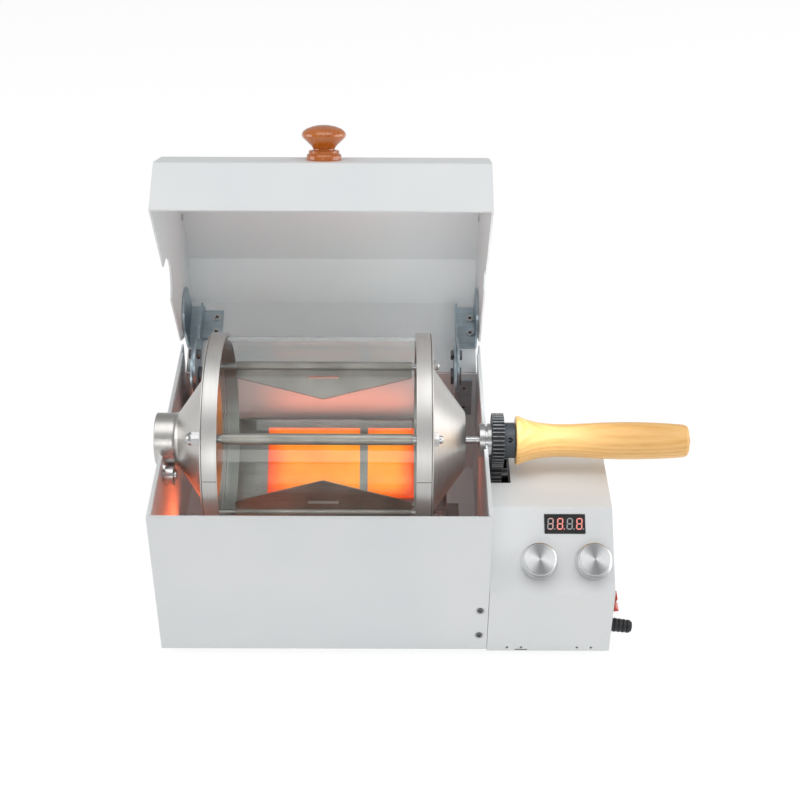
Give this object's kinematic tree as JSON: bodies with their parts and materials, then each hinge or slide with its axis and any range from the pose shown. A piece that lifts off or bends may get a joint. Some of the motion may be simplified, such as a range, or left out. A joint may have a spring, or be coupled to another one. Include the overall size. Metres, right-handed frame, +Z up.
{
  "type": "coffee bean roaster",
  "caption": "Open chamber with a hinged gable lid, holding a motor-turned glass drum with a wooden handle, beside a control box with knobs and a display.",
  "frame": {"origin": "under the middle of the whole part's box with the lid open, on the surface it stands on", "axes": "+X to the right along the drum from the filling neck to the handle, +Y back, away from the control knobs, +Z up"},
  "size_m": [0.4114, 0.2939, 0.3498],
  "materials": {
    "white_coat": "fine powder coat, satin white",
    "brushed_stainless": "brushed stainless sheet",
    "bright_steel": "machined steel",
    "galvanised": "zinc plated, blue-grey",
    "dark_steel": "blackened steel",
    "clear_glass": "clear heat-proof glass",
    "turned_aluminium": "spun face with bright bevel",
    "pale_wood": "pale lacquered hardwood",
    "red_brown_wood": "orange-brown lacquered wood",
    "black_plastic": "matt black",
    "red_plastic": "glossy red",
    "black_rubber": "matt black rubber",
    "ceramic": null,
    "green_board": "circuit board"
  },
  "bodies": {
    "base": {"chamber_shell": "white_coat", "left_wall": "white_coat", "right_wall": "white_coat", "heater_tray": "galvanised", "heater_panel": "ceramic", "heater_strap": "galvanised", "heater_terminals": "ceramic", "heater_brackets": "galvanised", "roller_pins": "bright_steel", "shaft_bearing": "bright_steel", "hinge_bases": "galvanised", "hinge_pins": "dark_steel", "control_shell": "white_coat", "control_end": "white_coat", "control_base": "white_coat", "display_module": "black_plastic", "potentiometers": "black_plastic", "potentiometer_nuts": "bright_steel", "control_board": "green_board", "gear_motor": "dark_steel", "motor_bracket": "dark_steel", "idler_post": "dark_steel", "switch_body": "black_plastic", "cable_gland": "black_plastic", "terminal_block": "ceramic", "feet": "black_rubber", "case_screws": "dark_steel"},
    "drum": {"left_cap": "brushed_stainless", "right_cap": "brushed_stainless", "left_ring": "brushed_stainless", "right_ring": "brushed_stainless", "glass_tube": "clear_glass", "tie_rods": "brushed_stainless", "rod_nuts": "bright_steel", "mixing_vanes": "brushed_stainless", "drum_shaft": "bright_steel", "drum_gear": "black_plastic", "handle_hub": "black_plastic", "handle": "pale_wood", "handle_bolt": "bright_steel"},
    "lid": {"lid_panel": "white_coat", "lid_left_side": "white_coat", "lid_right_side": "white_coat", "lid_knob": "red_brown_wood", "lid_knob_screw": "bright_steel", "hinge_arms": "galvanised", "hinge_guide_bolts": "dark_steel", "lid_rivets": "bright_steel"},
    "idler": {"idler_gear": "black_plastic"},
    "pinion_set": {"pinion": "black_plastic", "motor_shaft": "bright_steel"},
    "front_roller_set": {"front_roller": "bright_steel", "front_roller_ring": "bright_steel"},
    "rear_roller_set": {"rear_roller": "bright_steel", "rear_roller_ring": "bright_steel"},
    "left_knob_set": {"left_knob": "turned_aluminium", "left_knob_shaft": "bright_steel"},
    "right_knob_set": {"right_knob": "turned_aluminium", "right_knob_shaft": "bright_steel"},
    "rocker": {"switch_rocker": "red_plastic"}
  },
  "joints": [
    {"name": "lid_hinge", "type": "hinge", "parent": "base", "child": "lid", "pos_m": [-0.07615, 0.06008, 0.117], "axis": [1, 0, 0], "range_deg": [0, 64.4]},
    {"name": "drum_spin", "type": "hinge", "parent": "base", "child": "drum", "pos_m": [-0.07615, -0.04892, 0.133], "axis": [1, 0, 0], "continuous": true},
    {"name": "idler_spin", "type": "hinge", "parent": "base", "child": "idler", "pos_m": [0.05685, -0.04892, 0.1], "axis": [1, 0, 0], "continuous": true},
    {"name": "pinion_spin", "type": "hinge", "parent": "base", "child": "pinion_set", "pos_m": [0.05685, -0.04892, 0.077], "axis": [1, 0, 0], "continuous": true},
    {"name": "front_roller_spin", "type": "hinge", "parent": "base", "child": "front_roller_set", "pos_m": [-0.19445, -0.07161, 0.11527], "axis": [1, 0, 0], "continuous": true},
    {"name": "rear_roller_spin", "type": "hinge", "parent": "base", "child": "rear_roller_set", "pos_m": [-0.19445, -0.02622, 0.11527], "axis": [1, 0, 0], "continuous": true},
    {"name": "left_knob_turn", "type": "hinge", "parent": "base", "child": "left_knob_set", "pos_m": [0.08635, -0.12823, 0.07858], "axis": [0, -0.6018, 0.7986], "range_deg": [-150, 150]},
    {"name": "right_knob_turn", "type": "hinge", "parent": "base", "child": "right_knob_set", "pos_m": [0.12735, -0.12823, 0.07858], "axis": [0, -0.6018, 0.7986], "range_deg": [-150, 150]},
    {"name": "switch_rock", "type": "hinge", "parent": "base", "child": "rocker", "pos_m": [0.13975, -0.12992, 0.039], "axis": [0, 1, 0], "range_deg": [0, 18]}
  ],
  "couplings": [
    {"joint": "idler_spin", "follows": "drum_spin", "ratio": -1.5385},
    {"joint": "pinion_spin", "follows": "drum_spin", "ratio": 2},
    {"joint": "front_roller_spin", "follows": "drum_spin", "ratio": -2.5625},
    {"joint": "rear_roller_spin", "follows": "drum_spin", "ratio": -2.5625}
  ]
}
